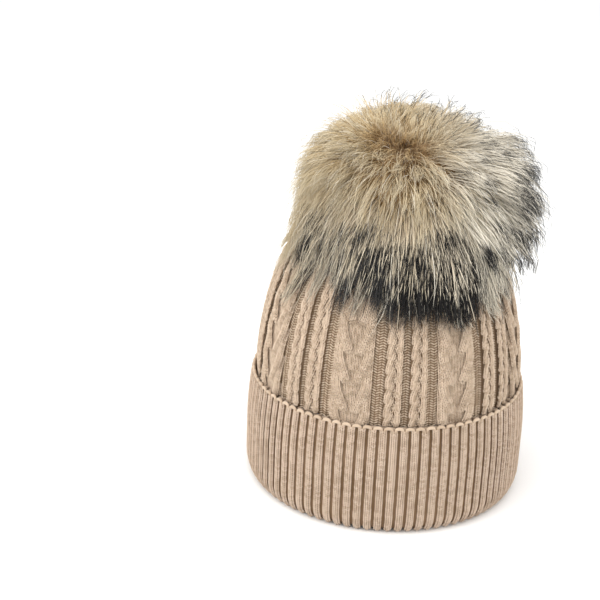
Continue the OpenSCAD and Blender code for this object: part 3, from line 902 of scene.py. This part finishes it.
# tanned hide, flesh side: matt and faintly mottled
leather = speckled("pelt_leather", "#cdb595", "#e6d6bd", 2.5 * MM, 0.2 * MM, 0.8)
pelt_mid = (pelt_low[2] + pelt_high[2]) / 2
half_tall = (pelt_high[2] - pelt_low[2]) / 2
bag_rows, bag_turns = np.meshgrid(np.linspace(0.02, 1, 22), np.linspace(0, tau, 96, endpoint=False),
                                  indexing="ij")
bag_tilt = pi / 2 - bag_rows * pi * 0.93
pleats, pleat_deep = 24, 0.05
pleat = 1 + pleat_deep * np.sin(bag_turns * pleats) * np.clip(-np.sin(bag_tilt), 0, 1)
bag = np.stack([pelt_high[0] * np.cos(bag_tilt) * pleat * np.cos(bag_turns),
                pelt_high[0] * np.cos(bag_tilt) * pleat * np.sin(bag_turns),
                pelt_mid + half_tall * np.sin(bag_tilt)], -1)
pelt = closed_bowl("gathered_pelt", bag, leather)
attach(pelt, "pompom")
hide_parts("fur_pelt")

# --- Filling ---------------------------------------------------------------------------------------------
# Loose polyester fibre fills the pelt and keeps it round. It is white, matt and lumpy, and it lies a
# little inside the hide.
fibre = speckled("polyester_filling", "#e9e7e2", "#ffffff", 1.5 * MM, 0.4 * MM)
shrunk = 0.92
fill_rows = bag * shrunk + np.array([0, 0, pelt_mid]) * (1 - shrunk)
filling = closed_bowl("pompom_fibre", fill_rows, fibre)
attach(filling, "pompom")
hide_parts("pompom_filling")

# --- Felt discs --------------------------------------------------------------------------------------
# A disc of pressed wool felt lies under the pompom, and another inside the top of the crown. They spread
# the pull of the press stud's halves, which are sewn through them.
felt = speckled("pressed_felt", "#a08a70", "#c6b196", 0.7 * MM, 0.25 * MM, Sheen_Weight=0.4)


def felt_disc(name, node, body):
    """A die-cut felt disc with a soft edge that isn't quite even."""
    low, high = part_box(node)
    r, thickness, centre = high[0], high[2] - low[2], (low[2] + high[2]) / 2
    around = np.linspace(0, tau, 96, endpoint=False)
    uneven = 0.012
    rim = [(0.02, 0.5), (0.35, 0.5), (0.70, 0.5), (0.93, 0.47), (0.985, 0.30), (1.0, 0.0),
           (0.985, -0.30), (0.93, -0.47), (0.70, -0.5), (0.35, -0.5), (0.02, -0.5)]
    rows = []
    for share, level in rim:
        wobble = r * share * (1 - uneven * (1 + np.sin(around * 5) * np.cos(around * 3 + 1)) / 2)
        rows.append(np.stack([wobble * np.cos(around), wobble * np.sin(around),
                              centre + thickness * level + 0 * around], -1))
    disc = closed_bowl(name, np.array(rows), felt)
    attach(disc, body)
    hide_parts(node)


felt_disc("crown_felt_disc", "backing_patch", "hat")
felt_disc("pompom_felt_disc", "pompom_backing", "pompom")

# --- Press stud and sewing thread --------------------------------------------------------------------
# The pompom snaps off for washing. Each half of the stud is pressed brass, sewn on with cotton through
# four holes, and a sprung wire ring in the socket grips the bead. They keep their machined shapes.
# nickel plate, tumbled: a soft bright metal, rubbed in patches
metal, metal_tree, metal_shader = finish_of("nickel_stud", "#b9b7b2", Metallic=1.0, Roughness=0.32)
scratch_place = add(metal_tree, "ShaderNodeTexCoord").outputs["Object"]
scratch = add(metal_tree, "ShaderNodeTexNoise", {"Vector": scratch_place, "Scale": 1 / (0.8 * MM)})
rub = add(metal_tree, "ShaderNodeMapRange", {"Value": scratch.outputs["Fac"], "To Min": 0.22,
                                             "To Max": 0.45})
metal_tree.links.new(rub.outputs["Result"], metal_shader.inputs["Roughness"])
# drawn phosphor bronze: a smooth warm wire
wire = finish_of("spring_wire", "#c2a25a", Metallic=1.0, Roughness=0.25)[0]
# mercerised cotton thread: matt, with its twist as fine relief
cotton = speckled("sewing_cotton", "#b39d84", "#d9c7b0", 0.25 * MM, 0.08 * MM)
for nodes, finish, slot_name in ((("snap_socket", "snap_stud"), metal, "stud_metal"),
                                 (("snap_spring",), wire, "spring_wire"),
                                 (("socket_stitches", "stud_stitches", "patch_stitches",
                                   "label_stitches", "draw_thread"), cotton, "sewing_thread")):
    for node in nodes:
        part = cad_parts[node]
        part.data.materials.clear()
        part.data.materials.append(finish)

# --- Gather and knot -----------------------------------------------------------------------------------
# A length of the crown's yarn, two plies twisted together, runs through the last round and pulls it shut.
# It is knotted inside.
gather_low, gather_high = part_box("gather_yarn")
ply_r, ply_off, ply_twists = 0.6 * MM, 0.5 * MM, 9
ply_turn = np.linspace(0, tau, 96, endpoint=False)
ring_r = gather_high[1] - ply_r - ply_off
ring_z = (gather_low[2] + gather_high[2]) / 2
plies = []
for phase in (0, pi):
    twist = ply_turn * ply_twists + phase
    out = ring_r + ply_off * np.cos(twist)
    plies.append(np.stack([out * np.cos(ply_turn), out * np.sin(ply_turn),
                           ring_z + ply_off * np.sin(twist)], -1))
gather = tubed("gather_plies", np.array(plies), ply_r, crown_yarn, sides=8, closed=True, tone=0.5)
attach(gather, "hat")
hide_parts("gather_yarn")
knot_low, knot_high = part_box("gather_knot")
strand_r, knot_rise = 0.5 * MM, 1.0 * MM
knot_t = np.linspace(0, tau, 72, endpoint=False)
knot_r, knot_mid = (knot_high[0] - strand_r) / 3, (knot_low[2] + knot_high[2]) / 2
knot_line = np.stack([knot_r * (np.sin(knot_t) + 2 * np.sin(2 * knot_t)),
                      knot_r * (np.cos(knot_t) - 2 * np.cos(2 * knot_t)),
                      knot_mid - knot_rise * np.sin(3 * knot_t)], -1)
knot = tubed("gather_knot_yarn", knot_line[None], strand_r, crown_yarn, sides=8, closed=True, tone=0.5)
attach(knot, "hat")
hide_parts("gather_knot")

# --- Care label ------------------------------------------------------------------------------------------
# A folded strip of satin hangs inside the band at one side, with its top edge sewn in. It is left blank.
# woven polyester satin: smooth, with a streaked gloss along its threads, which are drawn coarse to show
label_low, label_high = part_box("care_label")
satin, satin_tree, satin_shader = finish_of("label_satin", "#f3efe8", Roughness=0.38, Anisotropic=0.6,
                                            Sheen_Weight=0.2)
satin_place = add(satin_tree, "ShaderNodeTexCoord").outputs["Object"]
threads = add(satin_tree, "ShaderNodeTexWave", {"Vector": satin_place, "Scale": wave_length / (0.9 * MM),
                                                "Distortion": 0.3}, bands_direction="Z")
weave = add(satin_tree, "ShaderNodeBump", {"Height": threads.outputs["Fac"], "Strength": 0.3,
                                           "Distance": 0.05 * MM})
satin_tree.links.new(weave.outputs["Normal"], satin_shader.inputs["Normal"])
label_wide, label_tall = label_high[1] - label_low[1], label_high[2] - label_low[2]
satin_thick, curl_deep, hang = 0.35 * MM, 0.5 * MM, 0.6 * MM
label_r = label_high[0] - satin_thick
across_rows, down_rows = np.meshgrid(np.linspace(-0.5, 0.5, 25), np.linspace(0, 1, 15), indexing="ij")
label_angle = across_rows * label_wide / label_r
curl = curl_deep * np.sin(across_rows * 9) * down_rows ** 2
label_out = label_r - curl - hang * down_rows
label_points = np.stack([label_out * np.cos(label_angle), label_out * np.sin(label_angle),
                         label_high[2] - label_tall * down_rows], -1)
wide_n, tall_n = label_points.shape[:2]
i, j = np.meshgrid(np.arange(wide_n - 1), np.arange(tall_n - 1), indexing="ij")
corner = (i * tall_n + j).ravel()
front_faces = np.stack([corner, corner + 1, corner + tall_n + 1, corner + tall_n], -1)
flat_n = wide_n * tall_n
rim = ([k * tall_n for k in range(wide_n)] + [(wide_n - 1) * tall_n + k for k in range(1, tall_n)]
       + [k * tall_n + tall_n - 1 for k in range(wide_n - 2, -1, -1)] + list(range(tall_n - 2, 0, -1)))
rim_faces = [(rim[k - 1], rim[k], rim[k] + flat_n, rim[k - 1] + flat_n) for k in range(len(rim))]
back_points = label_points.copy()
back_points[..., :2] *= (label_r - satin_thick) / label_r
label_mesh = bpy.data.meshes.new("blank_label")
label_mesh.from_pydata(np.concatenate([label_points.reshape(-1, 3), back_points.reshape(-1, 3)]).tolist(),
                       [], front_faces[:, ::-1].tolist() + (front_faces + flat_n).tolist() + rim_faces)
label_mesh.shade_smooth()
label_mesh.materials.append(satin)
label = shown("blank_label", label_mesh)
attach(label, "hat")
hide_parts("care_label")
